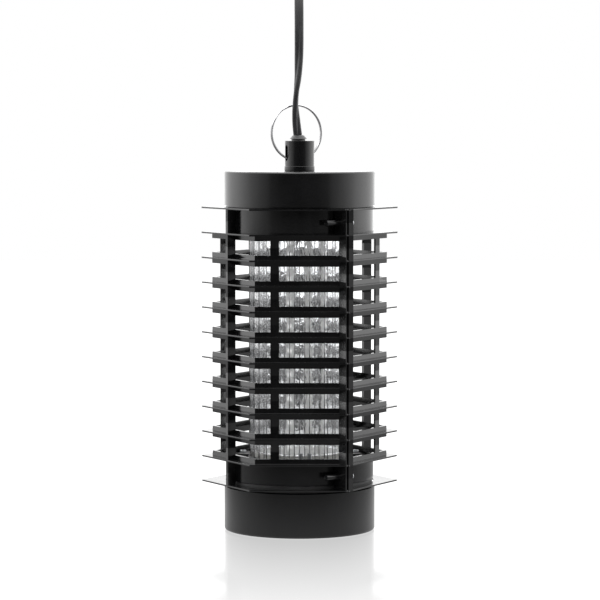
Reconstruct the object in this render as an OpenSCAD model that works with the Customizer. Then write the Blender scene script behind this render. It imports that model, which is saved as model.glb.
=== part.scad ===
// Hanging electric insect killer: a six-sided louvred cage in two halves round a high-voltage
// wire grid and an ultraviolet LED lamp, with a cap, a hanging ring, a mains lead and a tray.
// Millimetres, +Z up. The origin is on the axis, at the underside of the tray.

/* [Cage] */
// Corner radius of the six-sided fins
fin_r = 65; // [63:0.5:68]
// Thickness of a fin
fin_t = 1.0; // [0.8:0.1:1.3]
// Height of the topmost fin's mid-plane
fin_top_z = 214.3; // [214.1:0.1:214.5]
// Height step from fin to fin
fin_pitch = 16.55; // [16.5:0.01:16.6]
// Corner radius of the bands that carry the fins
band_r = 58; // [57:0.5:59]
// Wall of the bands
band_t = 2; // [1.6:0.1:2.4]
// Height of a band above its fin
band_up = 3.0; // [2.5:0.1:4]
// Height of a band below its fin
band_down = 3.3; // [2.5:0.1:4]
// Thickness of the tall ribs midway between the seams
rib_t = 2.7; // [2:0.1:4]
// Width of the posts between the bands
post_w = 5.7; // [4:0.1:7]
// Distance of a post from the corner beside it
post_in = 10.1; // [9:0.1:11]
// Wall of the posts
post_t = 1.2; // [1:0.1:2]

/* [Housing] */
// Radius of the cap and of the tray
cap_r = 50.1; // [49.9:0.1:50.4]
// Height of the top of the cap
cap_top_z = 238.5; // [236.7:0.1:240.7]
// Outer radius of both collars
collar_r = 49.1; // [49:0.05:49.2]
// Wall of the mouldings
wall = 2; // [1.8:0.1:2.2]
// Height of the tray's rim
tray_top_z = 29.1; // [27.7:0.1:29.2]

/* [Neck and ring] */
// Outer radius of the neck
neck_r = 9.75; // [9.5:0.05:10]
// Height of the top of the neck
neck_top_z = 258.4; // [257.7:0.1:259.7]
// Turn of the ring's plane about the axis
ring_turn = 26; // [20:1:30]
// Outer radius of the hanging ring
ring_r = 18.8; // [18:0.1:19]

/* [Grid and lamp] */
// Wires in each of the two sets
wire_count = 30; // [24:1:36]
// Radius of a wire
wire_r = 0.35; // [0.25:0.05:0.45]
// Outer radius of the lamp's clear tube
lamp_r = 29.8; // [28:0.1:30]
// LED chips on each strip
led_count = 18; // [10:1:18]

/* [Mains lead] */
// Width of the flat twin lead
cord_w = 6; // [5:0.5:6]
// Thickness of the flat twin lead
cord_t = 3.4; // [3:0.1:3.6]

/* [Hidden] */
$fn = 96;
eps = 0.05;

fin_count = 12;
fin_last = fin_count - 1;
function fin_z(k) = fin_top_z - k * fin_pitch;
collar_gap = 0.15;
half_turns = [210, 30]; // the front half's and the rear half's turn about the axis

seam_near = 0.8;  // a half's edge beside the seam where it carries the boss
seam_far = 0.7;   // and how far it reaches past the seam where it carries the screw head
flange_t = 2.7;
rib_in = 1.2;     // how far a rib's outer edge stays inside the fins'
lip_t = 0.8;
groove_y = 62.5;
lip_y = 64.4;
flange_y = 64.8;
flange_in_y = 55.6;
ear_in_y = 50;
screw_y = 56;
screw_zs = [205.7, 40.7];
boss_r = 2.1;
boss_end = 12.5;
seat_r = 3.2;
seat_end = 5.1;
pilot_r = 1.05;
shank_r = 1.0;
clear_r = 1.3;
peg_r = 1.5;
peg_zs = [205.7, 42.5];
zone = 90;        // larger than the cage's radius

cap_z = 215;
cap_plate = 2.2;
cap_edge = 1.2;
lip_in = 1.0;
snap_z = 218.2;
snap_in = 0.6;     // depth of the groove the upper collar's bead snaps into
bead_t = 0.8;
cap_bore = cap_r - wall;
spigot_r = 9;
neck_bore = 7.85;
neck_base_r = 10.1;
neck_base_z = 241.5;
spigot_z = 231.7;
nut_t = 3;
nut_r = 13.2;
slot_w = 3.5;
slot_z = [245.1, 255.4];

ring_axial = 1.9;
ring_radial = 1.3;
ring_shift = -2.3;
ring_z = 263.7;

gland_xy = [-0.8, -2.8];
gland_stem_z = 255.5;
gland_z = 262.1;
gland_collar_r = 4.65;
gland_collar = 1.2;
gland_r = [5.8, 3.6];
lead_off = 5.4;   // the lead passes this far from the axis inside the neck, beside the ring

upper_z = [197.5, 214.9];
upper_top_z = 219.7;
ledge_z = [200, 202.2];
ledge_r = 36.2;
wall_thin = 1.2;
plate_z = [202.3, 204.7];
lower_z = [34.7, 49];
tab_z = [43.7, 45.9];
tab_r = 41.5;
tab_half = 7;      // half the angle of a tab
base_z = [46, 48.5];
spoke_angles = [270, 30, 150];
spoke_w = 18;
fixing_r = 44;    // radius at which the plates are screwed to the collars
hub_r = 34.5;
plate_r = collar_r - wall - 0.3;

groove_z = [36.9, 39.6];
lug_z = [37.2, 39.3];
sleeve_z = 40.9;
lock_r = 48.4;
lock_z = [29.5, 34.4];
sleeve_bore = 44.2;
mouth_r = 41.9;
tray_floor = 2.2;
tray_edge = 1.5;
lug_angles = [30, 150, 270];
key_angles = [90, 210, 330];
key_w = 6;
key_gap = 0.3;
twist = 20;       // degrees that the lock ring turns
lug_half = 10;    // half the angle of a lug

live_r = 32.6;
return_r = 31.4;
bus_z = [200.5, 201.7];
wire_z = [47.5, 201.7];
grid_lead_r = 0.75;
grid_lead_rs = [live_r + 0.8, return_r - 0.8];
grid_lead_turn = 100;
tube_z = [51.9, 196.5];
strip_r = 17.5;
strip_w = 5.2;
strip_t = 1.2;
strip_z = [51.7, 196.7];
strip_angles = [159, 249, 339, 69];
led_w = 3.5;
led_t = 1.0;

board_z = [224.7, 226.3];
board_r = 43.5;
board_posts = [90, 210, 330];
board_post_at = 34;
stop_size = [16, 10, 4.4];
stop_z = 226.9;

coil_at = [12, 128];
coil_r = [27, 39];
coil_h = 12;
tie_wall = 0.7;
tie_w = 9;
plug_y = 111;
plug_z = 19;
plug_back_x = 8;
plug_front_x = -29;
plug_w = 35.3;
plug_h = 13.7;
pin_r = 2;
pin_len = 19;
pin_gap = 19;

// Route of the lead from the gland over the top and down behind the cage to the coil
lead_route = [[-1.2, -3.2, 262.1], [-2.2, -4.8, 271.7], [-2.7, -6.4, 281.7], [-2, -7.4, 291.7],
    [-1, -7.6, 301.7], [-0.4, -7.4, 314.7], [-0.3, -6.8, 332.7], [-0.4, -4, 352.7],
    [-0.5, 3, 370.7], [-0.6, 14, 382.7], [-0.6, 29, 387.7], [-0.6, 44, 382.7], [-0.6, 56, 370.7],
    [-0.5, 62, 352.7], [-0.3, 64, 332.7], [-0.4, 65, 314.7], [-1, 66, 301.7], [-2.1, 66, 291.7],
    [-2.8, 66, 281.7], [-2.3, 66, 271.7], [-1.4, 66, 261.7], [-2, 66, 242.7], [-3, 66.5, 217.7],
    [-4, 67, 187.7], [-5, 67.5, 157.7], [-6, 68, 127.7], [-7, 68, 97.7], [-8.5, 68.5, 70.7],
    [-10, 68.7, 47.7], [-11, 69.3, 31.5], [-12.5, 71.5, 20.2], [-14.5, 77.5, 10.5],
    [-17, 86.5, 5], [-19.5, 97, 3], [-22, 108, 3]];
// Route of the lead from the top of the coil to the plug
plug_route = [[45, 136, 14.5], [43, 127, 16.8], [37.5, 118, 18.2], [30, 112.5, 18.9],
    [22, 111, 19]];

function catmull(a, b, c, d, t) = 0.5 * ((2 * b) + (c - a) * t
    + (2 * a - 5 * b + 4 * c - d) * t * t + (3 * b - a - 3 * c + d) * t * t * t);
function smooth(p, steps) = let (n = len(p) - 1) [for (i = [0:n - 1], s = [0:steps - 1])
    catmull(p[max(i - 1, 0)], p[i], p[i + 1], p[min(i + 2, n)], s / steps), p[n]];
function unit(v) = v / norm(v);
function tangent(p, i) = unit(p[min(i + 1, len(p) - 1)] - p[max(i - 1, 0)]);
function ring_at(c, t, side, r, sides) = let (u = unit(side - (side * t) * t), v = cross(t, u))
    [for (j = [0:sides - 1]) c + r * (cos(360 * j / sides) * u + sin(360 * j / sides) * v)];
function quad(i, j, sides) = [i * sides + j, i * sides + (j + 1) % sides,
    (i + 1) * sides + (j + 1) % sides, (i + 1) * sides + j];

// A plain round tube swept along a list of points, all of whose tangents lie off the X axis
module swept(points, r, sides, side) {
    rings = [for (i = [0:len(points) - 1]) ring_at(points[i], tangent(points, i), side, r, sides)];
    walls = [for (i = [0:len(points) - 2], j = [0:sides - 1]) quad(i, j, sides)];
    start = [for (j = [sides - 1:-1:0]) j];
    end = [for (j = [0:sides - 1]) (len(points) - 1) * sides + j];
    polyhedron([for (r = rings, p = r) p], concat([start], walls, [end]), convexity = 6);
}

module tube(r_out, r_in, z) {
    translate([0, 0, z[0]]) difference() {
        cylinder(r = r_out, h = z[1] - z[0]);
        translate([0, 0, -1]) cylinder(r = r_in, h = z[1] - z[0] + 2);
    }
}

module disc(r, z) {
    translate([0, 0, z[0]]) cylinder(r = r, h = z[1] - z[0]);
}

module at_angles(angles) {
    for (a = angles) rotate([0, 0, a]) children();
}

module along_x(r, x0, x1) {
    translate([x0, 0, 0]) rotate([0, 90, 0]) cylinder(r = r, h = x1 - x0, $fn = 32);
}

// ---- cap, neck and ring ----

module cap_profile() {
    difference() {
        union() {
            translate([0, cap_z + lip_in]) square([cap_r, cap_top_z - cap_z - lip_in - cap_edge]);
            translate([0, cap_z]) square([cap_r - cap_edge, cap_top_z - cap_z]);
            translate([cap_r - cap_edge, cap_top_z - cap_edge]) circle(r = cap_edge);
        }
        translate([-1, cap_z - 1]) square([cap_bore + 1, cap_top_z - cap_z - cap_plate + 1]);
        translate([0, snap_z - snap_in]) square([cap_bore + snap_in, 2 * snap_in]);
        translate([-1, cap_z]) square([spigot_r + 0.1 + 1, cap_top_z - cap_z + 1]);
        translate([-100, 0]) square([100, 300]);
    }
}

module top_cap() {
    color("#1b1b1c") difference() {
        union() {
            rotate_extrude() cap_profile();
            at_angles(board_posts) translate([board_post_at, 0, board_z[1] + 0.1])
                cylinder(r = 3, h = cap_top_z - cap_plate - board_z[1] + eps);
        }
        at_angles(board_posts) translate([board_post_at, 0, board_z[1] - 1]) cylinder(r = 1.15, h = 8);
    }
}

module ring_slots() {
    rotate([0, 0, ring_turn]) {
        translate([-12, -slot_w / 2, slot_z[0] + slot_w / 2])
            cube([24, slot_w, slot_z[1] - slot_z[0] - slot_w]);
        for (z = [slot_z[0] + slot_w / 2, slot_z[1] - slot_w / 2])
            translate([0, 0, z]) along_x(slot_w / 2, -12, 12);
    }
}

module hanger_neck() {
    color("#202021") difference() {
        union() {
            disc(neck_r, [neck_base_z - 1, neck_top_z]);
            disc(neck_base_r, [cap_top_z + 0.05, neck_base_z]);
            disc(spigot_r, [spigot_z, cap_top_z + 1]);
        }
        disc(neck_bore, [spigot_z - 1, neck_top_z + 1]);
        ring_slots();
    }
}

module neck_nut() {
    top = cap_top_z - cap_plate - 0.05;
    color("#2a2a2b") difference() {
        translate([0, 0, top - nut_t]) cylinder(r = nut_r, h = nut_t, $fn = 6);
        disc(spigot_r + 0.05, [top - nut_t - 1, top + 1]);
    }
}

module hanging_ring() {
    color("#9c9ea1") rotate([0, 0, ring_turn]) translate([ring_shift, 0, ring_z]) rotate([90, 0, 0])
        rotate_extrude() translate([ring_r - ring_radial, -ring_axial / 2])
            square([ring_radial, ring_axial]);
}

module cable_gland() {
    cone_z = neck_top_z + gland_collar;
    color("#161617") {
        disc(neck_bore - 0.05, [gland_stem_z, neck_top_z]);
        translate([gland_xy[0], gland_xy[1], 0]) {
            disc(gland_collar_r, [neck_top_z - 1, cone_z + 0.1]);
            translate([0, 0, cone_z])
                cylinder(r1 = gland_r[0], r2 = gland_r[1], h = gland_z - cone_z);
        }
    }
}

module flat_lead(grow, z) {
    w = cord_w + 2 * grow;
    t = cord_t + 2 * grow;
    rotate([0, 0, ring_turn]) translate([0, -lead_off, z[0]]) {
        translate([-(w - t) / 2, -t / 2, 0]) cube([w - t, t, z[1] - z[0]]);
        for (s = [-1, 1]) translate([s * (w - t) / 2, 0, 0])
            cylinder(r = t / 2, h = z[1] - z[0], $fn = 32);
    }
}

module inner_lead() {
    color("#111112") flat_lead(0, [board_z[1] + 0.1, gland_stem_z - 0.1]);
}

module cord_stop() {
    color("#e6e3da") difference() {
        rotate([0, 0, ring_turn]) translate([-stop_size[0] / 2, -lead_off - stop_size[1] / 2, stop_z])
            cube(stop_size);
        flat_lead(0.1, [board_z[1], board_z[1] + 10]);
    }
}

// ---- cage: one moulding, used twice ----

module hexagon(r) {
    rotate(30) circle(r = r, $fn = 6);
}

module half_zone() {
    translate([seam_near, 0]) square([zone, zone]);
    translate([-seam_far, -zone]) square([zone, zone]);
}

module fin(k) {
    beside_collar = k < 2 || k > fin_last - 2;
    translate([0, 0, fin_z(k) - fin_t / 2]) linear_extrude(fin_t) intersection() {
        difference() {
            hexagon(fin_r);
            if (beside_collar) circle(r = collar_r + collar_gap);
            if (!beside_collar) hexagon(band_r - band_t / cos(30));
        }
        half_zone();
    }
}

module band(k) {
    z0 = k < fin_last - 1 ? fin_z(k) - fin_t / 2 - band_down : fin_z(k) + fin_t / 2;
    z1 = k > 1 ? fin_z(k) + fin_t / 2 + band_up : fin_z(k) - fin_t / 2;
    translate([0, 0, z0]) linear_extrude(z1 - z0) intersection() {
        difference() {
            hexagon(band_r);
            hexagon(band_r - band_t / cos(30));
        }
        half_zone();
    }
}

module posts() {
    z0 = fin_z(fin_last - 1);
    z1 = fin_z(1) - fin_t / 2;
    for (side = [-1, 1]) rotate([0, 0, side * 60])
        translate([band_r * cos(30) - post_t, side * (post_in + post_w / 2 - band_r / 2) - post_w / 2,
            z0]) cube([post_t, post_w, z1 - z0]);
}

module rib() {
    z0 = fin_z(fin_last) - fin_t / 2;
    r0 = collar_r + collar_gap;
    translate([r0, -rib_t / 2, z0])
        cube([fin_r * cos(30) - rib_in - r0, rib_t, fin_z(0) - fin_z(fin_last) + fin_t]);
    for (z = peg_zs) translate([0, 0, z]) along_x(peg_r, collar_r - wall + 0.3, collar_r + 1.5);
}

module seam_wall(x0, x1, y0, y1, z0, z1) {
    translate([x0, y0, z0]) cube([x1 - x0, y1 - y0, z1 - z0]);
}

module seam_edges() {
    z0 = fin_z(fin_last) - fin_t / 2;
    z1 = fin_z(0) + fin_t / 2;
    ears = [[z0, fin_z(fin_last - 1) + fin_t / 2], [fin_z(1) - fin_t / 2, z1]];
    seam_wall(seam_near, flange_t, flange_in_y, groove_y, z0, z1);
    seam_wall(flange_t - lip_t, flange_t, flange_in_y, lip_y, z0, z1);
    seam_wall(-seam_far, flange_t, -flange_y, -flange_in_y, z0, z1);
    for (e = ears) {
        seam_wall(seam_near, flange_t, ear_in_y, flange_in_y + 1, e[0], e[1]);
        seam_wall(-seam_far, flange_t, -flange_in_y - 1, -ear_in_y, e[0], e[1]);
    }
    for (z = screw_zs) {
        translate([0, screw_y, z]) along_x(boss_r, flange_t - 1, boss_end);
        translate([0, -screw_y, z]) along_x(seat_r, flange_t - 1, seat_end);
    }
}

module cage_half() {
    difference() {
        union() {
            for (k = [0:fin_last]) fin(k);
            for (k = [1:fin_last - 1]) band(k);
            posts();
            rib();
            seam_edges();
        }
        for (z = screw_zs) {
            translate([0, screw_y, z]) along_x(pilot_r, seam_near - 1, boss_end - 1.5);
            translate([0, -screw_y, z]) along_x(clear_r, -seam_far - 1, seat_end + 1);
        }
    }
}

module cage_half_front() {
    color("#1e1e1f") rotate([0, 0, half_turns[0]]) cage_half();
}

module cage_half_rear() {
    color("#19191a") rotate([0, 0, half_turns[1]]) cage_half();
}

module seam_screws() {
    color("#b8babd") at_angles(half_turns) for (z = screw_zs) translate([0, screw_y, z]) {
        along_x(shank_r, -seat_end - 1, boss_end - 3);
        along_x(2.5, -seat_end - 2.2, -seat_end - 0.05);
    }
}

// ---- collars, lock ring and tray ----

module peg_holes() {
    at_angles(half_turns) for (z = peg_zs) translate([0, 0, z])
        along_x(peg_r + 0.1, collar_r - 2 * wall, collar_r + wall);
}

module upper_collar() {
    color("#1d1d1e") difference() {
        union() {
            tube(collar_r, collar_r - wall, upper_z);
            tube(cap_bore - 0.2, collar_r - wall - wall_thin, [upper_z[1] - 2, upper_top_z]);
            tube(cap_bore + 0.3, cap_bore - wall_thin, [snap_z - bead_t / 2, snap_z + bead_t / 2]);
            tube(collar_r - wall + eps, ledge_r, ledge_z);
        }
        peg_holes();
        fixing_holes(pilot_r, ledge_z);
    }
}

module fixing_holes(r, z) {
    at_angles(spoke_angles) translate([fixing_r, 0, z[0] - 1]) cylinder(r = r, h = z[1] - z[0] + 2);
}

module arc_ring(r_out, r_in, z, half_angle) {
    rotate([0, 0, -half_angle]) rotate_extrude(angle = 2 * half_angle)
        translate([r_in, z[0]]) square([r_out - r_in, z[1] - z[0]]);
}

module lower_collar() {
    color("#1d1d1e") difference() {
        union() {
            tube(collar_r, collar_r - wall, lower_z);
            at_angles(spoke_angles) arc_ring(collar_r - wall + eps, tab_r, tab_z, tab_half);
        }
        peg_holes();
        at_angles(lug_angles) rotate([0, 0, twist / 2])
            arc_ring(lock_r - 0.1, 40, groove_z, lug_half + twist / 2 + 0.2);
        fixing_holes(pilot_r, tab_z);
    }
}

module lock_ring() {
    color("#141415") difference() {
        union() {
            tube(lock_r, sleeve_bore, lock_z);
            tube(collar_r - wall - 0.1, sleeve_bore, [lock_z[1] - 1, sleeve_z]);
            at_angles(lug_angles) arc_ring(lock_r - 0.4, 46, lug_z, lug_half);
        }
        at_angles(key_angles) translate([sleeve_bore - 1, -key_w / 2 - key_gap, lock_z[0] - 1])
            cube([2.1 + key_gap, key_w + 2 * key_gap, sleeve_z]);
    }
}

module tray_profile() {
    difference() {
        union() {
            translate([0, tray_edge]) square([cap_r, tray_top_z - tray_edge]);
            square([cap_r - tray_edge, tray_top_z]);
            translate([cap_r - tray_edge, tray_edge]) circle(r = tray_edge);
            square([sleeve_bore - 0.3, sleeve_z - 4]);
        }
        translate([-1, tray_floor]) square([cap_r - wall + 1, tray_top_z - wall - tray_floor]);
        translate([-1, tray_floor]) square([mouth_r + 1, 60]);
        translate([-100, -1]) square([100, 300]);
    }
}

module tray_cup() {
    color("#1c1c1d") {
        rotate_extrude() tray_profile();
        at_angles(key_angles) translate([sleeve_bore - 1, -key_w / 2, tray_top_z - 0.5])
            cube([2.1, key_w, sleeve_z - tray_top_z - 4]);
    }
}

// ---- high-voltage grid ----

module grid_top_plate() {
    color("#e9e6dc") difference() {
        disc(plate_r, plate_z);
        disc(10, [plate_z[0] - 1, plate_z[1] + 1]);
        fixing_holes(clear_r, plate_z);
        rotate([0, 0, grid_lead_turn]) for (r = grid_lead_rs) translate([r, 0, plate_z[0] - 1])
            cylinder(r = grid_lead_r + 0.2, h = 5, $fn = 24);
    }
}

module grid_base() {
    color("#242425") difference() {
        union() {
            disc(hub_r, base_z);
            at_angles(spoke_angles) translate([hub_r - 4, -spoke_w / 2, base_z[0]])
                cube([plate_r - hub_r + 2.4, spoke_w, base_z[1] - base_z[0]]);
        }
        fixing_holes(clear_r, base_z);
    }
}

module grid_screws() {
    color("#b8babd") at_angles(spoke_angles) for (z = [plate_z[1], base_z[1]])
        translate([fixing_r, 0, z]) {
            translate([0, 0, 0.05]) cylinder(r = 2.2, h = 1.5, $fn = 32);
            translate([0, 0, -4.4]) cylinder(r = shank_r, h = 4.6, $fn = 32);
        }
}

module wire_set(r, turn) {
    for (i = [0:wire_count - 1]) rotate([0, 0, turn + i * 360 / wire_count])
        translate([r, 0, wire_z[0]]) cylinder(r = wire_r, h = wire_z[1] - wire_z[0], $fn = 16);
}

module live_wires() {
    color("#c9cbcd") wire_set(live_r, 0);
}

module return_wires() {
    color("#c4c6c8") wire_set(return_r, 180 / wire_count);
}

module live_bus() {
    color("#c08a4a") tube(live_r + 1.6, live_r + wire_r, bus_z);
}

module return_bus() {
    color("#c08a4a") tube(return_r - wire_r, return_r - 1.6, bus_z);
}

module terminal_posts() {
    color("#d9dadb") for (x = [0.7, 6.6]) translate([x, -38, base_z[1]]) {
        cylinder(r = 1.5, h = 6.2, $fn = 32);
        cylinder(r = 2.4, h = 2, $fn = 6);
    }
}

// ---- lamp ----

module lamp_tube() {
    color("#e8eef2", 0.35) tube(lamp_r, lamp_r - 1.5, tube_z);
}

module lamp_head() {
    color("#efeee9") {
        disc(lamp_r + 0.4, [tube_z[1] + 0.1, bus_z[0] - 0.3]);
        disc(return_r - 2.2, [tube_z[1] + 0.1, plate_z[0] - 0.1]);
        disc(9.9, [plate_z[0] - 0.2, plate_z[1] + 1.5]);
    }
}

module lamp_foot() {
    color("#efeee9") disc(lamp_r + 0.4, [base_z[1] + 0.05, tube_z[0] - 0.3]);
}

module led_strips() {
    color("#f3f3ee") at_angles(strip_angles) translate([strip_r - strip_t, -strip_w / 2, strip_z[0]])
        cube([strip_t, strip_w, strip_z[1] - strip_z[0] - 0.2]);
}

module led_chips() {
    step = (strip_z[1] - strip_z[0] - 10) / (led_count - 1);
    z0 = strip_z[0] + 5 - led_w / 2;
    color("#f7f3cf") at_angles(strip_angles) for (i = [0:led_count - 1])
        translate([strip_r + 0.02, -led_w / 2, z0 + i * step]) cube([led_t, led_w, led_w]);
}

// ---- electronics ----

module circuit_board() {
    color("#2f6b45") difference() {
        disc(board_r, board_z);
        at_angles(board_posts) translate([board_post_at, 0, board_z[0] - 1]) cylinder(r = 1.4, h = 4);
    }
}

module board_screws() {
    color("#b8babd") at_angles(board_posts) translate([board_post_at, 0, board_z[0]]) {
        translate([0, 0, -1.75]) cylinder(r = 2.4, h = 1.7, $fn = 32);
        translate([0, 0, -0.5]) cylinder(r = 1.1, h = 7.5, $fn = 32);
    }
}

module capacitors() {
    color("#9b3f2c") for (y = [-20, -6, 8]) translate([-24, y, board_z[0] - 13]) cube([18, 8, 12.95]);
}

module diodes() {
    color("#222222") for (y = [-18, -10, -2, 6]) translate([4, y, board_z[0] - 1.6]) along_x(1.4, 0, 5.2);
}

module resistors() {
    color("#c9b98c") for (y = [-12, 2]) translate([16, y, board_z[0] - 1.8]) along_x(1.6, 0, 9);
}

module grid_leads() {
    z0 = bus_z[1] + 0.02;
    color("#b03028") rotate([0, 0, grid_lead_turn]) for (r = grid_lead_rs) translate([r, 0, z0])
        cylinder(r = grid_lead_r, h = board_z[0] - z0 - eps, $fn = 24);
}

module lamp_leads() {
    z0 = plate_z[1] + 1.55;
    color("#d8d4c8") for (y = [-3, 3]) translate([0, y, z0])
        cylinder(r = 0.8, h = board_z[0] - z0 - eps, $fn = 24);
}

// ---- mains lead and plug ----

module cord_tube() {
    color("#0f0f10") {
        swept(smooth(lead_route, 2), cord_w / 2, 8, [1, 0, 0]);
        swept(smooth(plug_route, 2), cord_w / 2, 8, [0, 0, 1]);
    }
}

module cord_coil() {
    color("#0f0f10") translate([coil_at[0], coil_at[1], 0]) tube(coil_r[1], coil_r[0], [0, coil_h]);
}

module coil_tie() {
    width = coil_r[1] - coil_r[0] + 2 * tie_wall;
    color("#303032") translate([coil_at[0] - tie_w / 2, coil_at[1] + coil_r[0] - tie_wall, 0])
        difference() {
            cube([tie_w, width, coil_h + tie_wall]);
            translate([-1, tie_wall, tie_wall])
                cube([tie_w + 2, width - 2 * tie_wall, coil_h - tie_wall + eps]);
        }
}

module plug_sleeve() {
    color("#101011") translate([plug_back_x + 0.02, plug_y, plug_z]) rotate([0, 90, 0])
        cylinder(r1 = 4.6, r2 = 3.4, h = 13.9);
}

module plug_slab(x, w, h) {
    translate([x, plug_y, plug_z]) rotate([0, 90, 0]) linear_extrude(0.5) {
        square([h, w - h], center = true);
        for (s = [-1, 1]) translate([0, s * (w - h) / 2]) circle(r = h / 2, $fn = 32);
    }
}

module plug_body() {
    color("#121213") hull() {
        plug_slab(plug_front_x, plug_w - 1, plug_h - 1);
        plug_slab(plug_front_x + 1, plug_w, plug_h);
        plug_slab(plug_front_x + 18, plug_w, plug_h);
        plug_slab(plug_back_x - 6, 18, 11);
        plug_slab(plug_back_x - 0.5, 13, 9.4);
    }
}

module plug_pins() {
    color("#c7c9cb") for (s = [-1, 1]) translate([0, plug_y + s * pin_gap / 2, plug_z])
        along_x(pin_r, plug_front_x - pin_len, plug_front_x);
}

top_cap();
hanger_neck();
neck_nut();
hanging_ring();
cable_gland();
inner_lead();
cord_stop();
upper_collar();
cage_half_front();
cage_half_rear();
seam_screws();
lower_collar();
lock_ring();
tray_cup();
grid_top_plate();
grid_base();
grid_screws();
live_wires();
return_wires();
live_bus();
return_bus();
terminal_posts();
lamp_tube();
lamp_head();
lamp_foot();
led_strips();
led_chips();
circuit_board();
board_screws();
capacitors();
diodes();
resistors();
grid_leads();
lamp_leads();
cord_tube();
cord_coil();
coil_tie();
plug_sleeve();
plug_body();
plug_pins();
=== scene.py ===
"""Looks of a hanging electric insect killer: a glossy black louvred cage round a wire grid and a
crackled lamp tube, with a split ring, a flat twin lead and its plug. Everything is in metres, in
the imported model's frame."""
import math

import bmesh
import bpy
from mathutils import Matrix, Vector, noise


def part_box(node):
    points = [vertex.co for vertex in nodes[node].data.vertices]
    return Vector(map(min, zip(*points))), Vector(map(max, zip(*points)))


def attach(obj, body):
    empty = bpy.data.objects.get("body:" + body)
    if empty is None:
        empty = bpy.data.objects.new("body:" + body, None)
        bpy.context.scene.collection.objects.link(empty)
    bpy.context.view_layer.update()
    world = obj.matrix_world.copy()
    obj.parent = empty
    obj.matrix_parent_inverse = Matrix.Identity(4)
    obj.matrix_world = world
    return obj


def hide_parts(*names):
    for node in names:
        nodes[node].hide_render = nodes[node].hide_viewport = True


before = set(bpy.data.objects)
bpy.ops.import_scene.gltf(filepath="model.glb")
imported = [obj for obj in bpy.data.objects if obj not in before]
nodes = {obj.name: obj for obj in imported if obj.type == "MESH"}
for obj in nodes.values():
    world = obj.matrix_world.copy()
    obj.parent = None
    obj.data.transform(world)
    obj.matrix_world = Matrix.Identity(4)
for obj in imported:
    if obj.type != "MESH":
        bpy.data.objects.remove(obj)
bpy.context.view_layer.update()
scene = bpy.context.scene
MM = 0.001


# ---- camera ----

CAMERA_AT, CAMERA_TO = Vector((0.0003, -1.876, 0.2737)), Vector((0.0003, 0, 0.1527))
SENSOR_WIDTH, FOCAL_LENGTH = 36, 169.7  # in mm


def make_camera():
    """Stands 1.88 m in front of the lamp's axis, level with its ring, and looks slightly down."""
    data = bpy.data.cameras.new("camera")
    data.sensor_width = SENSOR_WIDTH
    data.lens = FOCAL_LENGTH
    cam = bpy.data.objects.new("camera", data)
    scene.collection.objects.link(cam)
    cam.location = CAMERA_AT
    cam.rotation_mode = "QUATERNION"
    cam.rotation_quaternion = (CAMERA_TO - CAMERA_AT).to_track_quat("-Z", "Y")
    scene.camera = cam


make_camera()


# ---- mesh helpers ----

def piece(name, verts, faces, material, body="housing", slot=None, smooth=True, replaced=()):
    """A mesh piece that rides on a body and stands for the CAD nodes in replaced."""
    mesh = bpy.data.meshes.new(name)
    mesh.from_pydata([tuple(v) for v in verts], [], faces)
    bm = bmesh.new()
    bm.from_mesh(mesh)
    bmesh.ops.recalc_face_normals(bm, faces=bm.faces)
    bm.to_mesh(mesh)
    bm.free()
    mesh.polygons.foreach_set("use_smooth", [smooth] * len(mesh.polygons))
    for m in material if isinstance(material, list) else [material]:
        mesh.materials.append(m)
    obj = bpy.data.objects.new(name, mesh)
    scene.collection.objects.link(obj)
    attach(obj, body)
    if replaced:
        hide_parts(*replaced)
    return obj


def loft(rings, closed=False):
    """Vertices and faces that join rings of equal count. The ends get a face each, or meet if closed."""
    verts = [p for ring in rings for p in ring]
    count, sides = len(rings), len(rings[0])
    faces = []
    for i in range(count if closed else count - 1):
        a, b = i * sides, (i + 1) % count * sides
        faces += [(a + j, a + (j + 1) % sides, b + (j + 1) % sides, b + j) for j in range(sides)]
    if not closed:
        faces += [tuple(range(sides))[::-1], tuple((count - 1) * sides + j for j in range(sides))]
    return verts, faces


def lathe(profile, place, sides=48):
    """Rings round an axis: profile is (distance along, radius) pairs, and place is the axis's matrix."""
    turn = [2 * math.pi * j / sides for j in range(sides)]
    return loft([[place @ Vector((r * math.cos(t), r * math.sin(t), z)) for t in turn]
                 for z, r in profile])


def joined(parts):
    """One list of vertices and faces out of several."""
    verts, faces = [], []
    for v, f in parts:
        faces += [tuple(i + len(verts) for i in face) for face in f]
        verts += v
    return verts, faces


def smoothstep(x, low, high):
    t = min(1, max(0, (x - low) / (high - low)))
    return t * t * (3 - 2 * t)


def catmull_rom(points, steps):
    """A smooth line through the points, with steps points from each to the next."""
    line = []
    for i in range(len(points) - 1):
        a, b = points[max(i - 1, 0)], points[i]
        c, d = points[i + 1], points[min(i + 2, len(points) - 1)]
        for s in range(steps):
            t = s / steps
            line.append(0.5 * (2 * b + (c - a) * t + (2 * a - 5 * b + 4 * c - d) * t * t
                               + (3 * b - a - 3 * c + d) * t ** 3))
    return line + [points[-1]]


# ---- materials ----

def add_node(tree, kind, links=None, **values):
    """A new shader node. links holds what goes into its inputs, as sockets or plain values."""
    made = tree.nodes.new(kind)
    for key, value in values.items():
        setattr(made, key, value)
    for key, value in (links or {}).items():
        if isinstance(value, bpy.types.NodeSocket):
            tree.links.new(value, made.inputs[key])
        else:
            made.inputs[key].default_value = value
    return made


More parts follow.
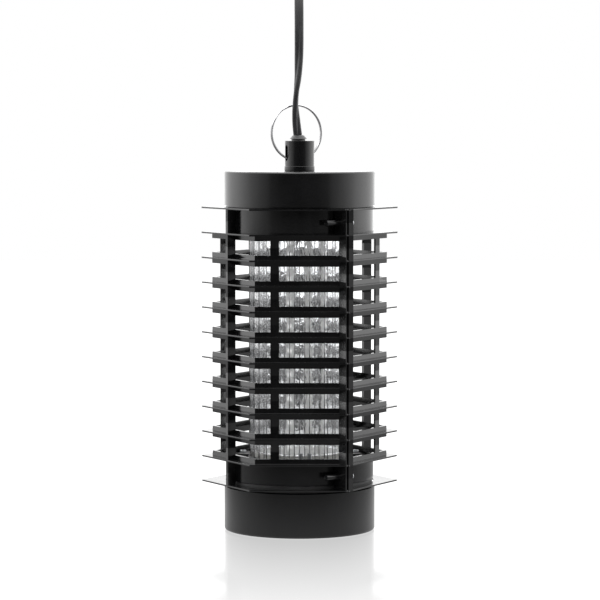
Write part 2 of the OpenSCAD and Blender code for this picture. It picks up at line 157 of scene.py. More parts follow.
class Shader:
    """A Principled material whose detail is procedural, in the object's own coordinates."""

    def __init__(self, name, color, roughness, **sockets):
        self.material = bpy.data.materials.new(name)
        self.material.use_nodes = True
        self.tree = self.material.node_tree
        self.bsdf = self.tree.nodes["Principled BSDF"]
        self.bsdf.inputs["Base Color"].default_value = (*color, 1)
        self.bsdf.inputs["Roughness"].default_value = roughness
        for socket, value in sockets.items():
            self.bsdf.inputs[socket.replace("_", " ")].default_value = value
        self.coords = self.node("ShaderNodeTexCoord").outputs["Object"]
        self.material.diffuse_color = (*color, 1)

    def node(self, kind, links=None, **values):
        return add_node(self.tree, kind, links, **values)

    def stretched(self, scale):
        """The coordinates multiplied by (x, y, z)."""
        links = {0: self.coords, 1: scale}
        return self.node("ShaderNodeVectorMath", links, operation="MULTIPLY").outputs[0]

    def noise(self, scale, detail=2.0, roughness=0.5, vector=None):
        links = {"Vector": vector or self.coords, "Scale": scale, "Detail": detail,
                 "Roughness": roughness}
        return self.node("ShaderNodeTexNoise", links).outputs["Fac"]

    def cells(self, scale, feature, vector):
        links = {"Vector": vector, "Scale": scale}
        return self.node("ShaderNodeTexVoronoi", links, feature=feature).outputs["Distance"]

    def remap(self, value, low, high, to_low=0.0, to_high=1.0):
        links = {"Value": value, "From Min": low, "From Max": high, "To Min": to_low, "To Max": to_high}
        return self.node("ShaderNodeMapRange", links).outputs["Result"]

    def math(self, operation, a, b=0.0):
        return self.node("ShaderNodeMath", {0: a, 1: b}, operation=operation).outputs[0]

    def axis(self, name):
        return self.node("ShaderNodeSeparateXYZ", {0: self.coords}).outputs[name]

    def mix(self, factor, a, b):
        """The colour from a to b by factor. Each is a socket, or three numbers."""
        a, b = (c if isinstance(c, bpy.types.NodeSocket) else (*c, 1) for c in (a, b))
        links = {"Factor": factor, 6: a, 7: b}
        return self.node("ShaderNodeMix", links, data_type="RGBA").outputs[2]

    def between(self, factor, low, high):
        """The number from low to high by factor."""
        links = {0: factor, 2: low, 3: high}
        return self.node("ShaderNodeMix", links, data_type="FLOAT").outputs[0]

    def set(self, socket, value):
        self.tree.links.new(value, self.bsdf.inputs[socket])

    def bump(self, height, distance, strength=1.0):
        """Adds a bump of that height in metres on top of what is there."""
        links = {"Height": height, "Distance": distance, "Strength": strength}
        normal = self.bsdf.inputs["Normal"]
        if normal.is_linked:
            links["Normal"] = normal.links[0].from_socket
        self.set("Normal", self.node("ShaderNodeBump", links).outputs["Normal"])


LAMP_AND_PAINTED_LIGHT = (1, 1, 1, 1)  # the colour of the LED lenses' own lamp light, and of the painted light on the LED cases, the LED boards and the tube's cracks


def black_plastic(name, base, rough, grain, peel=0.000012, draft=None):
    """Moulded black plastic: orange peel, fine grain, smudges in the gloss, and a little dust. draft
    is a height, a pitch and the slope that the shading gives to walls on both sides of each fin."""
    s = Shader(name, base, rough, IOR=1.5)
    smudge = s.noise(42, 4, 0.6)
    streak = s.noise(60, 3, 0.55, s.stretched((1, 1, 0.12)))
    s.set("Roughness", s.math("ADD", s.remap(smudge, 0.35, 0.7, rough * 0.85, rough * 1.25),
                              s.remap(streak, 0.45, 0.75, 0, rough * 0.2)))
    dust = s.remap(s.noise(2600, 1, 0.5), 0.72, 0.8)
    faint = tuple(c + 0.01 for c in base)
    shade = s.mix(s.remap(smudge, 0.3, 0.7), base, tuple(c * 1.5 for c in base))
    s.set("Base Color", s.mix(dust, shade, faint))
    s.bump(s.noise(700, 2, 0.4), peel)
    s.bump(s.noise(4200, 2, 0.6), grain)
    if draft:
        middle, pitch, slope = draft
        from_fin = s.math("PINGPONG", s.math("SUBTRACT", s.axis("Z"), middle), pitch / 2)
        s.bump(s.math("MULTIPLY", from_fin, -slope / MM), MM)
    return s.material


def metal(name, color, rough, lines=(1, 1, 1), scale=2500, depth=0.000004):
    """Metal with drawn or turned lines along the axes where lines is small, and dull spots."""
    s = Shader(name, color, rough, Metallic=1.0)
    fine = s.noise(scale, 3, 0.6, s.stretched(lines))
    spots = s.noise(160, 3, 0.6)
    s.set("Roughness", s.math("ADD", s.remap(fine, 0.3, 0.7, rough * 0.8, rough * 1.2),
                              s.remap(spots, 0.5, 0.75, 0, rough * 0.5)))
    s.set("Base Color", s.mix(s.remap(spots, 0.35, 0.7), color, tuple(c * 0.82 for c in color)))
    s.bump(fine, depth)
    return s.material


def moulded(name, color, rough, spread=0.9, glow=0.0):
    """Pale or coloured moulded plastic with a soft mottle and a fine grain, and emitted light by glow:
    the LED lenses' own lamp light, and painted light on the white LED cases.
    """
    s = Shader(name, color, rough, IOR=1.5, Emission_Color=LAMP_AND_PAINTED_LIGHT, Emission_Strength=glow)
    mottle = s.noise(90, 4, 0.6)
    s.set("Base Color", s.mix(s.remap(mottle, 0.35, 0.7), color, tuple(c * spread for c in color)))
    s.set("Roughness", s.remap(mottle, 0.3, 0.7, rough * 0.85, rough * 1.15))
    s.bump(s.noise(3500, 2, 0.6), 0.00001)
    return s.material


def cable_jacket(name):
    """Satin PVC with a fine extrusion grain and a slight bloom."""
    s = Shader(name, (0.013, 0.013, 0.014), 0.36, IOR=1.5)
    bloom = s.noise(70, 4, 0.65)
    fresh, bloomed = (0.011, 0.011, 0.012), (0.022, 0.022, 0.023)
    s.set("Base Color", s.mix(s.remap(bloom, 0.35, 0.75), fresh, bloomed))
    s.set("Roughness", s.remap(bloom, 0.3, 0.7, 0.3, 0.44))
    s.bump(s.noise(2400, 3, 0.6), 0.000012)
    return s.material


def crackled_acrylic(name):
    """Clear acrylic with small crazed cells on top of the tube's own facets. The cracks glow a little:
    painted light, standing in for the LEDs' light caught in them."""
    s = Shader(name, (0.97, 0.98, 0.99), 0.02, IOR=1.49, Transmission_Weight=1.0,
               Emission_Color=LAMP_AND_PAINTED_LIGHT)
    edges = s.cells(300, "DISTANCE_TO_EDGE", s.stretched((1, 1, 0.6)))
    s.bump(s.remap(edges, 0.0, 0.1), 0.00002)
    s.bump(s.noise(700, 2, 0.5), 0.000012)
    # Painted light: the tube glows, brightest along the crack edges.
    s.set("Emission Strength", s.remap(edges, 0.0, 0.25, 0.05, 0.004))
    return s.material


def solder_mask(name, color, pad, glow=0.0):
    """A circuit board's lacquer with rows of small pads showing through, and painted light on it by glow.
    """
    s = Shader(name, color, 0.35, IOR=1.5, Emission_Color=LAMP_AND_PAINTED_LIGHT, Emission_Strength=glow)
    dots = s.cells(330, "F1", s.stretched((1, 1, 0.35)))
    s.set("Base Color", s.mix(s.remap(dots, 0.12, 0.09), color, pad))
    s.set("Roughness", s.remap(s.noise(300, 3, 0.6), 0.3, 0.7, 0.28, 0.45))
    s.bump(s.noise(1500, 2, 0.5), 0.00001)
    return s.material


def banded(name, color, rough, bands):
    """A component's lacquer with painted bands: (place along X, half width, colour) each."""
    s = Shader(name, color, rough, IOR=1.5)
    along, shade = s.axis("X"), color
    for place, half, paint in bands:
        away = s.math("ABSOLUTE", s.math("SUBTRACT", along, place))
        shade = s.mix(s.math("LESS_THAN", away, half), shade, paint)
    mottle = s.remap(s.noise(500, 3, 0.6), 0.3, 0.7)
    s.set("Base Color", s.mix(s.math("MULTIPLY", mottle, 0.25), shade, (0.05, 0.04, 0.03)))
    s.bump(s.noise(1800, 2, 0.5), 0.00001)
    return s.material


FIN_Z, FIN_PITCH = 32.25, 16.55  # height of the lowest fin's middle and the step to the next, in mm
FIN_DRAFT = 0.1
PIANO_BLACK, POLISHED, POLISH_GRAIN = (0.0024, 0.0024, 0.0026), 0.15, 0.0000012

GLOSS = black_plastic("gloss_black", PIANO_BLACK, POLISHED, POLISH_GRAIN)
LOUVRE = black_plastic("louvre_black", PIANO_BLACK, POLISHED, POLISH_GRAIN,
                       draft=(FIN_Z * MM, FIN_PITCH * MM, FIN_DRAFT))
SATIN = black_plastic("satin_black", (0.004, 0.004, 0.0042), 0.3, 0.000004)
NYLON = black_plastic("nylon_black", (0.006, 0.006, 0.0062), 0.42, 0.000006)
PLUG = black_plastic("plug_black", (0.012, 0.012, 0.013), 0.42, 0.000009, 0.00002)
JACKET = cable_jacket("cord_jacket")
STRAP = black_plastic("strap_black", (0.02, 0.02, 0.021), 0.5, 0.000008)
RING = metal("ring_steel", (0.58, 0.58, 0.59), 0.16)
ZINC = metal("screw_zinc", (0.55, 0.56, 0.58), 0.3)
WIRE = metal("grid_wire", (0.82, 0.82, 0.83), 0.2, (1, 1, 0.03), 3000, 0.000003)
BRASS = metal("bus_brass", (0.62, 0.44, 0.22), 0.3, (1, 1, 0.2))
NICKEL = metal("pin_nickel", (0.72, 0.70, 0.67), 0.18, (1, 0.1, 0.1), 2200)
WHITE = moulded("white_nylon", (0.72, 0.715, 0.69), 0.45)
LENS = moulded("led_phosphor", (0.80, 0.79, 0.70), 0.22, 0.85, glow=0.6)
# The LED cases' glow is painted light: the white case is no lamp.
LED_CASE = moulded("led_case", (0.84, 0.84, 0.83), 0.35, glow=0.22)
RED_WIRE = moulded("silicone_red", (0.40, 0.03, 0.02), 0.4)
PALE_WIRE = moulded("wire_pale", (0.68, 0.66, 0.58), 0.42)
CAP_CASE = moulded("capacitor_dip", (0.33, 0.055, 0.03), 0.22, 0.8)
ACRYLIC = crackled_acrylic("crackled_acrylic")
# The LED board's glow is painted light: the board is no lamp.
STRIP = solder_mask("led_board", (0.78, 0.78, 0.76), (0.55, 0.56, 0.57), glow=0.09)
BOARD = solder_mask("circuit_board", (0.02, 0.12, 0.05), (0.5, 0.42, 0.22))


# ---- mains lead ----

# The route from the gland over the top and down behind the cage, and from the coil to the plug,
# with the turn of the lead's flat side from the X axis at each point, in degrees.
LEAD_ROUTE = [
    (-1.2, -3.2, 262.1), (-2.2, -4.8, 271.7), (-2.7, -6.4, 281.7), (-2, -7.4, 291.7),
    (-1, -7.6, 301.7), (-0.4, -7.4, 314.7), (-0.3, -6.8, 332.7), (-0.4, -4, 352.7),
    (-0.5, 3, 370.7), (-0.6, 14, 382.7), (-0.6, 29, 387.7), (-0.6, 44, 382.7), (-0.6, 56, 370.7),
    (-0.5, 62, 352.7), (-0.3, 64, 332.7), (-0.4, 65, 314.7), (-1, 66, 301.7), (-2.1, 66, 291.7),
    (-2.8, 66, 281.7), (-2.3, 66, 271.7), (-1.4, 66, 261.7), (-2, 66, 242.7), (-3, 66.5, 217.7),
    (-4, 67, 187.7), (-5, 67.5, 157.7), (-6, 68, 127.7), (-7, 68, 97.7), (-8.5, 68.5, 70.7),
    (-10, 68.7, 47.7), (-11, 69.3, 31.5), (-12.5, 71.5, 20.2), (-14.5, 77.5, 10.5),
    (-17, 86.5, 5), (-19.5, 97, 3), (-22, 108, 3)]
LEAD_TURNS = [20, 42, 80, 92, 118, 158, 180, 180, 180, 180, 180, 180, 180, 180, 172, 152, 122, 96,
              90, 100, 130, 160, 180, 180, 180, 180, 180, 180, 180, 180, 180, 180, 180, 180, 180]
PLUG_ROUTE = [(45, 136, 14.5), (43, 127, 16.8), (37.5, 118, 18.2), (30, 112.5, 18.9), (22, 111, 19)]
COIL_AT = Vector((12, 128))
TURNS = ((36, 3), (30, 3), (30, 9), (36, 9))  # radius and height of each turn of the coil
COIL_END, COIL_STEP = 44, 4  # where the last turn stops and the angle from point to point, in degrees
# The arc from the last turn up to the plug's route: its centre, radius, angles and heights.
RISE_AT, RISE_R = Vector((19.8, 135.8)), 25
RISE_ANGLES, RISE_HEIGHTS = (38, 27, 15, 5), (9.6, 11.2, 13, 14.2)
FLAT_W, FLAT_T = 6.0, 3.4
OUT_STEPS, BACK_STEPS = 8, 5  # points from each place to the next, out to the coil and back to the plug
# The lead turns on its edge for the coil, and flat again for the plug, between these counts of
# points before the end of its stretch.
ONTO_EDGE, ONTO_FLAT = (60, 8), (26, 6)


def on_circle(centre, radius, angle, height):
    a = math.radians(angle)
    return Vector((centre.x + radius * math.cos(a), centre.y + radius * math.sin(a), height))


def coil_line():
    """Four neat turns, clockwise from the coil's left, each passing to the next near its end."""
    line = []
    for (radius, height), (next_radius, next_height) in zip(TURNS, TURNS[1:]):
        for angle in range(180, -180, -COIL_STEP):
            change = smoothstep(180 - angle, 300, 360)
            r = radius + (next_radius - radius) * change
            z = height + (next_height - height) * change
            line.append(on_circle(COIL_AT, r, angle, z))
    last_radius, last_height = TURNS[-1]
    return line + [on_circle(COIL_AT, last_radius, angle, last_height)
                   for angle in range(180, COIL_END, -COIL_STEP)]


def rise_line():
    """From the top turn up and round to the plug route."""
    return [on_circle(RISE_AT, RISE_R, angle, height)
            for angle, height in zip(RISE_ANGLES, RISE_HEIGHTS)]


def twin_section(t):
    """Offset across the flat and through it, in millimetres, of a figure of eight at turn t."""
    lobe, centre = FLAT_T / 2, (FLAT_W - FLAT_T) / 2
    side = 1 if math.cos(t) >= 0 else -1
    waist = math.acos(-centre / lobe)
    local = math.atan2(math.sin(t), side * math.cos(t)) * waist / (math.pi / 2)
    return side * (centre + lobe * math.cos(local)), lobe * math.sin(local)


def flat_side(i, out_count, count):
    """Which way the lead's flat side lies at point i, before it is squared to the lead."""
    if i >= out_count:
        flat = smoothstep(i, count - ONTO_FLAT[0], count - ONTO_FLAT[1]) * math.pi / 2
        return Vector((0, math.sin(flat), math.cos(flat)))
    k, share = divmod(i, OUT_STEPS)
    turn, next_turn = LEAD_TURNS[k], LEAD_TURNS[min(k + 1, len(LEAD_TURNS) - 1)]
    a = math.radians(turn + (next_turn - turn) * share / OUT_STEPS)
    edge = smoothstep(i, out_count - ONTO_EDGE[0], out_count - ONTO_EDGE[1]) * math.pi / 2
    return Vector((math.cos(a) * math.cos(edge), math.sin(a) * math.cos(edge), math.sin(edge)))


def make_lead():
    out = catmull_rom([Vector(p) for p in LEAD_ROUTE], OUT_STEPS)
    coil = coil_line()
    back = catmull_rom([coil[-1]] + rise_line() + [Vector(p) for p in PLUG_ROUTE], BACK_STEPS)
    line = out[:-1] + coil[:-1] + back
    sides, rings = 28, []
    for i, p in enumerate(line):
        tangent = (line[min(i + 1, len(line) - 1)] - line[max(i - 1, 0)]).normalized()
        across = flat_side(i, len(out), len(line))
        across = (across - tangent * across.dot(tangent)).normalized()
        through = tangent.cross(across)
        ring = []
        for j in range(sides):
            u, v = twin_section(2 * math.pi * (j + 0.5) / sides)
            ring.append((p + across * u + through * v) * MM)
        rings.append(ring)
    lead = piece("flat_lead", *loft(rings), JACKET, slot="cord_jacket",
                 replaced=("cord_tube", "cord_coil"))
    return lead, [p * MM for p in line]


def superellipse(width, height, power, count):
    """Points round a rounded rectangle of half sizes width and height."""
    points = []
    for j in range(count):
        c, s = math.cos(2 * math.pi * j / count), math.sin(2 * math.pi * j / count)
        points.append((width * math.copysign(abs(c) ** (2 / power), c),
                       height * math.copysign(abs(s) ** (2 / power), s)))
    return points


def interpolated(keys, x):
    """The values beside the first ones at x, straight between the two nearest keys."""
    for a, b in zip(keys, keys[1:]):
        if x <= b[0]:
            t = (x - a[0]) / (b[0] - a[0])
            return [p + (q - p) * t for p, q in zip(a[1:], b[1:])]
    return list(keys[-1][1:])


# The plug's body: distance from the pin face, half width, half height and squareness.
PLUG_KEYS = [(0, 16.6, 5.9, 4.5), (0.4, 17.1, 6.45, 4.5), (1.2, 17.5, 6.8, 4.5), (17, 17.5, 6.8, 4.5),
             (20, 16.3, 6.7, 4), (24, 13.2, 6.2, 3.6), (28, 10.6, 5.7, 3.2), (32, 8.4, 5.3, 2.8),
             (35, 7, 4.9, 2.5), (36.4, 6.2, 4.4, 2.3), (37, 5.2, 3.6, 2.2)]
GRIP_FROM, GRIP_TO, GRIP_PITCH, GRIP_DEPTH = 20, 32, 2.2, 0.28
PIN_R = 2


def make_shell(low, middle):
    """The plug's body, with ribs across its narrowing end to grip."""
    steps = [0, 0.2, 0.4, 0.8, 1.2] + [2 + 0.4 * i for i in range(86)] + [36.6, 36.85, 37]
    rings = []
    for x in steps:
        width, height, power = interpolated(PLUG_KEYS, x)
        grip = smoothstep(x, GRIP_FROM, GRIP_FROM + 1) * (1 - smoothstep(x, GRIP_TO - 1, GRIP_TO))
        rib = 0.5 - 0.5 * math.cos(2 * math.pi * (x - GRIP_FROM) / GRIP_PITCH)
        height -= GRIP_DEPTH * grip * rib
        ring = superellipse(width, height, power, 72)
        rings.append([Vector((low.x + x * MM, middle.y + u * MM, middle.z + v * MM)) for u, v in ring])
    return piece("plug_shell", *loft(rings), PLUG, slot="plug_black", replaced=("plug_body",))


def make_relief(middle):
    """The tapered strain relief behind the plug, with five grooves."""
    low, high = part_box("plug_sleeve")
    place = Matrix.Translation((low.x, middle.y, middle.z)) @ Matrix.Rotation(math.pi / 2, 4, "Y")
    length = high.x - low.x
    profile = [(-0.4 * MM, 4.3 * MM)]
    grooves, groove_depth, steps = 5, 0.55, 56
    for i in range(steps + 1):
        t = i / steps
        wave = smoothstep(math.sin(2 * math.pi * (t * grooves - 0.1)), 0.35, 0.8)
        groove = groove_depth * wave * (0.1 < t < 0.95)
        profile.append((t * length, (4.45 - 1.05 * t - groove) * MM))
    return piece("plug_relief", *lathe(profile, place), JACKET, slot="cord_jacket",
                 replaced=("plug_sleeve",))


def make_pins(middle):
    """Two pins, each with a plastic shroud on the half beside the plug and a bare round-nosed end."""
    low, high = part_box("plug_pins")
    root, pin_y = high.x, (low.y + PIN_R * MM, high.y - PIN_R * MM)
    shroud = [(-0.5, 1.8), (0.2, 1.9), (9.8, 1.9), (10.2, 1.75)]
    nose = [(17 + PIN_R * math.sin(a), PIN_R * math.cos(a)) for a in (0, 0.35, 0.7, 1.0, 1.25, 1.45)]
    bare = [(9.9, 1.7), (10.15, 1.7), (10.3, 1.95), (10.6, PIN_R)] + nose
    tips, shrouds = [], []
    for y in pin_y:
        place = Matrix.Translation((root, y, middle.z)) @ Matrix.Rotation(-math.pi / 2, 4, "Y")
        tips.append(lathe([(z * MM, r * MM) for z, r in bare], place))
        shrouds.append(lathe([(z * MM, r * MM) for z, r in shroud], place))
    tips = piece("pin_tips", *joined(tips), NICKEL, slot="pin_plating", replaced=("plug_pins",))
    shrouds = piece("pin_shrouds", *joined(shrouds), PLUG, slot="plug_black")
    return [tips, shrouds]


def make_plug():
    low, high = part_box("plug_body")
    middle = (low + high) / 2
    return [make_shell(low, middle), make_relief(middle)] + make_pins(middle)


def make_tie():
    """A flat strap round the coil, its free end lapped over the top."""
    low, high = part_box("coil_tie")
    thick, corner, edge = 0.6 * MM, 2.2 * MM, 0.15 * MM
    y0, y1, z0, z1 = low.y + thick, high.y - 1.6 * thick, low.z + thick / 2, high.z - thick
    path = []
    for cy, cz, start in ((y1 - corner, z1 - corner, 0), (y0 + corner, z1 - corner, 90),
                          (y0 + corner, z0 + corner, 180), (y1 - corner, z0 + corner, 270)):
        for step in range(7):
            a = math.radians(start + step * 15)
            path.append((Vector((cy + corner * math.cos(a), cz + corner * math.sin(a))),
                         Vector((math.cos(a), math.sin(a)))))
    rings = []
    over = thick * 1.05
    lap = [(p + n * over, n) for p, n in path[:7]]
    lap += [(Vector((y1 - corner - d * MM, z1 + over)), Vector((0, 1))) for d in (1.5, 3, 4.5, 6)]
    places = (low.x, low.x + edge, high.x - edge, high.x)
    for p, n in path + lap:
        inner, outer = p - n * thick / 2, p + n * thick / 2
        ring = [(x, inner) for x in places] + [(x, outer) for x in places[::-1]]
        rings.append([Vector((x, q.x, q.y)) for x, q in ring])
    return piece("coil_strap", *loft(rings), STRAP, slot="tie_strip", smooth=False,
                 replaced=("coil_tie",))


lead, lead_line = make_lead()
on_lead = make_plug() + [make_tie()]


# ---- split ring ----

RING_TURN, RING_START = 26, 138  # degrees from the X axis to the ring's plane, and to its cut ends
RING_R, WIRE_HALF_W, WIRE_HALF_T = 18.15, 0.6, 0.45


def make_split_ring():
    """Two turns of flat spring wire side by side, with the jog between them and two cut ends."""
    turn = math.radians(RING_TURN)
    low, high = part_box("hanging_ring")
    centre = (low + high) / 2
    along = Vector((math.cos(turn), math.sin(turn), 0))
    axial = Vector((math.sin(turn), -math.cos(turn), 0))
    cut, jog = 14, 14  # degrees missing at each end, and either side of the middle
    rings = []
    for step in range(cut, 721 - cut, 2):
        a = math.radians(step + RING_START)
        side = -0.5 + smoothstep(step, 360 - jog, 360 + jog)
        outward = along * math.cos(a) + Vector((0, 0, 1)) * math.sin(a)
        taper = min(1, 0.55 + 0.45 * min(step - cut, 720 - cut - step) / 6)
        ring = superellipse(WIRE_HALF_W * taper, WIRE_HALF_T * taper, 3.2, 12)
        rings.append([centre + (outward * (RING_R + u) + axial * (side + v)) * MM for u, v in ring])
    piece("split_ring", *loft(rings), RING, body="ring", slot="ring_steel", replaced=("hanging_ring",))


make_split_ring()


# ---- lamp ----

def crumple(a, z):
    """How far the tube's inner skin is pushed in at a turn and height, as flat facets between creases."""
    place = Vector((math.cos(a) * 27, math.sin(a) * 27, z * 0.7)) * 0.19
    distances, points = noise.voronoi(place)
    facet = points[0] - place
    slope = noise.noise_vector(points[0] * 3.7)
    crease = min(distances[1] - distances[0], 0.5)
    return 0.55 * facet.dot(slope) + 0.5 * crease + 0.12 * noise.noise(place * 6)


def make_tube():
    """The lamp's clear tube, up its outer skin and down its inner one, both crumpled."""
    low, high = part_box("lamp_tube")
    outer_r, inner_r = high.x / MM, high.x / MM - 1.5
    around, up = 300, 190
    rings = []
    heights = [low.z / MM + (high.z - low.z) / MM * i / up for i in range(up + 1)]
    # radius, how far the facets stand out, where their pattern starts, and the heights
    skins = [(outer_r - 0.12, 0.12, 0, heights), (inner_r, -0.3, 400, heights[::-1])]
    for radius, depth, shift, levels in skins:
        for z in levels:
            ring = []
            for j in range(around):
                a = 2 * math.pi * j / around
                r = radius + depth * crumple(a, z + shift)
                ring.append(Vector((r * math.cos(a), r * math.sin(a), z)) * MM)
            rings.append(ring)
    piece("crackled_tube", *loft(rings, closed=True), ACRYLIC, slot="lamp_clear",
          replaced=("lamp_tube",))


STRIP_ANGLES, STRIP_R = (-111, -21, 69, 159), 17.52
LED_COUNT, LED_SIDES = 18, 24


def make_leds():
    """A white case with a sunk, slightly domed lens for each LED chip."""
    half, tall, depth = 1.75, 1.0, 0.25
    strip_low, strip_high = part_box("led_strips")
    bottom = strip_low.z / MM + 5
    step = (strip_high.z / MM + 0.2 - 5 - bottom) / (LED_COUNT - 1)
    packages, is_lens = [], []
    # lift from the strip, half size and squareness of each ring, from the case's foot to the lens
    levels = [(0, half, 8), (tall - 0.2, half, 8), (tall, half - 0.15, 8), (tall, half - 0.5, 3),
              (tall - depth, half - 0.62, 2.6), (tall - 0.1, half - 1.0, 2.2), (tall - 0.02, 0.25, 2)]
    case_rings = 4
    for angle in STRIP_ANGLES:
        a = math.radians(angle - 90)
        out = Vector((math.cos(a), math.sin(a), 0))
        side = Vector((-math.sin(a), math.cos(a), 0))
        for k in range(LED_COUNT):
            middle = out * STRIP_R + Vector((0, 0, bottom + k * step))
            rings = []
            for lift, size, power in levels:
                ring = superellipse(size, size, power, LED_SIDES)
                rings.append([(middle + out * lift + side * u + Vector((0, 0, v))) * MM
                              for u, v in ring])
            packages.append(loft(rings))
            is_lens += [i >= case_rings for i in range(len(levels) - 1) for _ in range(LED_SIDES)]
            is_lens += [False, True]  # the end faces, on the strip and on the lens
    leds = piece("led_packages", *joined(packages), [LED_CASE, LENS], slot="led_lens",
                 replaced=("led_chips",))
    leds.data.polygons.foreach_set("material_index", [int(x) for x in is_lens])


make_tube()
make_leds()


# ---- screws ----

def screw_head(place, radius, height):
    """A pan head with a cross recess, rising along place's Z from its origin."""
    bm = bmesh.new()
    sides, arm, reach = 40, 0.17 * radius, 0.62 * radius
    turns = [2 * math.pi * j / sides for j in range(sides)]
    # shares of the height and of the radius
    profile = [(0, 0.98), (0.12, 1), (0.45, 0.99), (0.75, 0.92), (1, 0.78)]
    rings = []
    for up, out in profile:
        r, z = radius * out, up * height
        rings.append([bm.verts.new((r * math.cos(t), r * math.sin(t), z)) for t in turns])
    for low_ring, high_ring in zip(rings, rings[1:]):
        for j in range(sides):
            k = (j + 1) % sides
            bm.faces.new((low_ring[j], low_ring[k], high_ring[k], high_ring[j]))
    bm.faces.new(rings[0][::-1])
    quarter = [(reach, -arm), (reach, arm), (arm, arm)]
    cross = [Matrix.Rotation(q * math.pi / 2, 2) @ Vector(p) for q in range(4) for p in quarter]
    top = [bm.verts.new((p.x, p.y, height)) for p in cross]
    floor = [bm.verts.new((p.x * 0.6, p.y * 0.6, height * 0.35)) for p in cross]
    rim = [bm.edges.new((top[i], top[(i + 1) % 12])) for i in range(12)]
    outer = [bm.edges.get((rings[-1][j], rings[-1][(j + 1) % sides])) for j in range(sides)]
    bmesh.ops.triangle_fill(bm, edges=rim + outer, use_beauty=True)
    for i in range(12):
        k = (i + 1) % 12
        bm.faces.new((top[i], top[k], floor[k], floor[i]))
    bm.faces.new(floor)
    bm.verts.index_update()
    verts = [place @ v.co for v in bm.verts]
    faces = [tuple(v.index for v in f.verts) for f in bm.faces]
    bm.free()
    return verts, faces


def aimed(place, direction):
    """A matrix whose Z runs along direction from place."""
    return Matrix.Translation(place) @ direction.to_track_quat("Z", "Y").to_matrix().to_4x4()


SHANK_R, SHANK_SIDES = 1, 24


def screw(place, direction, head, shank):
    """A screw along direction. head is its radius, height and distance behind place, and shank is
    where the shank starts and ends, in millimetres like place."""
    radius, height, back = head
    seat = aimed((place - direction * back) * MM, direction)
    return [screw_head(seat, radius * MM, height * MM),
            lathe([(z * MM, SHANK_R * MM) for z in shank], aimed(place * MM, direction), SHANK_SIDES)]


SEAM_TURNS, SEAM_R, SEAM_HEIGHTS = (210, 30), 56, (205.7, 40.7)
GRID_TURNS, GRID_R, GRID_HEIGHTS = (270, 30, 150), 44, (204.75, 48.55)


def make_screws():
    """Four screws across the seams of the cage and six upright ones in the grid's plates."""
    seam_parts, grid_parts = [], []
    for turn in SEAM_TURNS:
        a = math.radians(turn)
        out, side = Vector((math.cos(a), math.sin(a), 0)), Vector((-math.sin(a), math.cos(a), 0))
        for z in SEAM_HEIGHTS:
            place = side * SEAM_R + Vector((0, 0, z))
            seam_parts += screw(place, -out, (2.5, 2.1, -5.15), (-9.5, 6.1))
    for turn in GRID_TURNS:
        for z in GRID_HEIGHTS:
            place = on_circle(Vector((0, 0)), GRID_R, turn, z)
            grid_parts += screw(place, Vector((0, 0, 1)), (2.2, 1.5, 0), (-4.4, 0.1))
    seam = piece("seam_screw_set", *joined(seam_parts), ZINC, slot="screw_steel",
                 replaced=("seam_screws",))
    grid = piece("grid_screw_set", *joined(grid_parts), ZINC, slot="screw_steel",
                 replaced=("grid_screws",))
    for obj in (seam, grid):
        obj.data.set_sharp_from_angle(angle=math.radians(35))


make_screws()


# ---- materials and edges of the CAD nodes ----

LOOKS = {
    "top_cap": GLOSS, "hanger_neck": GLOSS, "cable_gland": SATIN, "neck_nut": NYLON,
    "inner_lead": JACKET, "cord_stop": WHITE, "upper_collar": GLOSS, "cage_half_front": LOUVRE,
    "cage_half_rear": LOUVRE, "lower_collar": GLOSS, "lock_ring": NYLON, "tray_cup": GLOSS,
    "grid_top_plate": WHITE, "grid_base": NYLON, "live_wires": WIRE, "return_wires": WIRE,
    "live_bus": BRASS, "return_bus": BRASS, "terminal_posts": ZINC, "lamp_head": WHITE,
    "lamp_foot": WHITE, "led_strips": STRIP, "circuit_board": BOARD, "board_screws": ZINC,
    "capacitors": CAP_CASE, "grid_leads": RED_WIRE, "lamp_leads": PALE_WIRE,
    "diodes": banded("diode_epoxy", (0.015, 0.015, 0.016), 0.4, [(0.0082, 0.0004, (0.6, 0.6, 0.6))]),
    "resistors": banded("resistor_lacquer", (0.55, 0.43, 0.26), 0.35,
                        [(0.0175, 0.0004, (0.3, 0.12, 0.04)), (0.0195, 0.0004, (0.02, 0.02, 0.02)),
                         (0.0215, 0.0004, (0.7, 0.35, 0.03)), (0.0237, 0.0004, (0.5, 0.4, 0.1))]),
}
# The radius that each moulding's edges are eased to, in millimetres.
EASED = {
    "top_cap": 0.3, "hanger_neck": 0.35, "cable_gland": 0.25, "neck_nut": 0.3, "cord_stop": 0.4,
    "upper_collar": 0.3, "cage_half_front": 0.22, "cage_half_rear": 0.22, "lower_collar": 0.3,
    "lock_ring": 0.25, "tray_cup": 0.3, "grid_top_plate": 0.25, "grid_base": 0.3,
    "terminal_posts": 0.2, "lamp_head": 0.3, "lamp_foot": 0.3, "capacitors": 1.2, "diodes": 0.25,
    "resistors": 0.5,
}


def dress(name, material, eased):
    """Gives a CAD node its material, and rounds its sharp edges where the moulding's are eased."""
    obj = nodes[name]
    for s in obj.material_slots:
        s.material = material
    if eased:
        weld = obj.modifiers.new("weld", "WELD")
        weld.merge_threshold = 0.01 * MM
        bevel = obj.modifiers.new("ease", "BEVEL")
        bevel.width = eased * MM
        bevel.segments = 2
        bevel.limit_method = "ANGLE"
        bevel.angle_limit = math.radians(40)
        bevel.use_clamp_overlap = True
        bevel.miter_outer = "MITER_ARC"
        normal = obj.modifiers.new("normals", "WEIGHTED_NORMAL")
        normal.keep_sharp = False
        normal.weight = 60


for name, material in LOOKS.items():
    dress(name, material, EASED.get(name))


# ---- studio ----

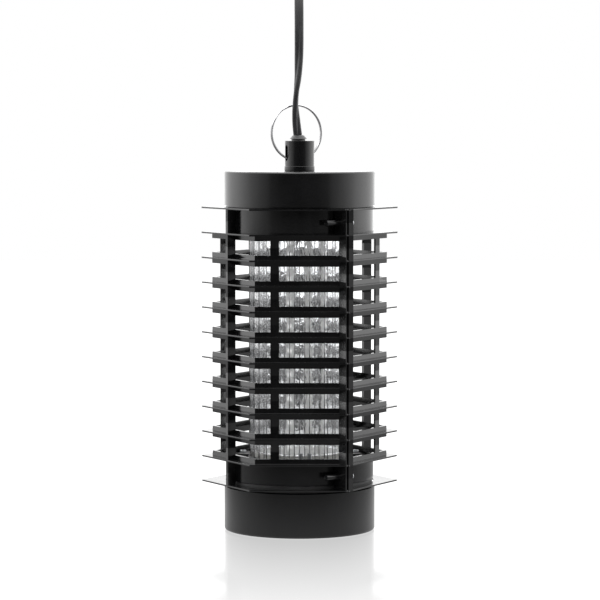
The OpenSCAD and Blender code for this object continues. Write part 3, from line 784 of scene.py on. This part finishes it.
def studio_world():
    """Soft boxes at both sides, a white wall behind and a dark room in front, by compass direction."""
    world = bpy.data.worlds.new("studio")
    scene.world = world
    world.use_nodes = True
    tree = world.node_tree
    tree.nodes.clear()

    def node(kind, links=None, **values):
        return add_node(tree, kind, links, **values)

    ways = node("ShaderNodeSeparateXYZ", {0: node("ShaderNodeTexCoord").outputs["Generated"]}).outputs
    front = node("ShaderNodeMath", {0: ways["Y"], 1: -1.0}, operation="MULTIPLY").outputs[0]
    turn = node("ShaderNodeMath", {0: ways["X"], 1: front}, operation="ARCTAN2").outputs[0]
    turn = node("ShaderNodeMath", {0: turn}, operation="ABSOLUTE").outputs[0]
    share = node("ShaderNodeMath", {0: turn, 1: math.pi}, operation="DIVIDE").outputs[0]
    ramp = node("ShaderNodeValToRGB", {0: share})
    brightest = 2.6  # what a full ramp stands for
    # degrees from the front, and how bright it is there
    stops = [(0, 0.02), (28, 0.06), (44, 0.16), (49, 0.5), (60, 0.75), (75, 1.25), (95, 2.0),
             (110, 2.1), (125, 1.8), (145, 1.6), (160, 1.8), (180, 1.9)]
    elements = ramp.color_ramp.elements
    while len(elements) < len(stops):
        elements.new(0.5)
    for element, (degrees, value) in zip(elements, stops):
        element.position = degrees / 180
        element.color = (value / brightest,) * 3 + (1,)
    links = {0: ramp.outputs["Color"], 1: brightest}
    sides = node("ShaderNodeMath", links, operation="MULTIPLY").outputs[0]
    above = node("ShaderNodeMapRange", {"Value": ways["Z"], "From Min": 0.22, "From Max": 0.5},
                 interpolation_type="SMOOTHSTEP").outputs["Result"]
    light = node("ShaderNodeMix", {0: above, 2: sides, 3: 3.0}, data_type="FLOAT").outputs[0]
    seen = node("ShaderNodeLightPath").outputs["Is Camera Ray"]
    strength = node("ShaderNodeMix", {0: seen, 2: light, 3: 1.0}, data_type="FLOAT").outputs[0]
    glow = node("ShaderNodeBackground", {"Color": (1, 1, 1, 1), "Strength": strength})
    out = node("ShaderNodeOutputWorld")
    tree.links.new(glow.outputs[0], out.inputs["Surface"])


def studio_floor():
    """A plain white glossy sheet, which glows towards the camera and reflects what stands on it."""
    mesh = bpy.data.meshes.new("floor")
    half, below = 3.5, 0.0002
    corners = [(-half, -half, 0), (half, -half, 0), (half, half, 0), (-half, half, 0)]
    mesh.from_pydata(corners, [], [(0, 1, 2, 3)])
    floor = bpy.data.objects.new("floor", mesh)
    floor.location.z = -below
    scene.collection.objects.link(floor)
    s = Shader("floor_sheet", (0.8, 0.8, 0.8), 0.3)
    depth = s.axis("Y")
    seen = s.node("ShaderNodeLightPath").outputs["Is Camera Ray"]
    away = s.node("ShaderNodeVectorMath", {0: s.coords}, operation="LENGTH").outputs["Value"]
    # what the lamp's own surfaces see: bright near the lamp and far off, darker between and in front
    spread = s.math("ADD", s.remap(away, 0.1, 0.32, 0.85, 0.35), s.remap(away, 0.32, 2.4, 0, 0.85))
    unseen = s.math("MULTIPLY", s.remap(depth, -0.5, 0.3, 0.3, 1.1), spread)
    strength = s.between(seen, unseen, 1.0)
    glow = s.node("ShaderNodeEmission", {"Color": (1, 1, 1, 1), "Strength": strength})
    gloss = s.node("ShaderNodeBsdfGlossy", {"Color": (1, 1, 1, 1), "Roughness": 0.1})
    share = s.between(seen, 0.08, s.remap(depth, -0.30, -0.05, 0.10, 0.42))
    both = s.node("ShaderNodeMixShader", {0: share, 1: glow.outputs[0], 2: gloss.outputs[0]})
    s.tree.links.new(both.outputs[0], s.tree.nodes["Material Output"].inputs["Surface"])
    mesh.materials.append(s.material)


studio_world()
studio_floor()
scene.view_settings.view_transform = "Standard"
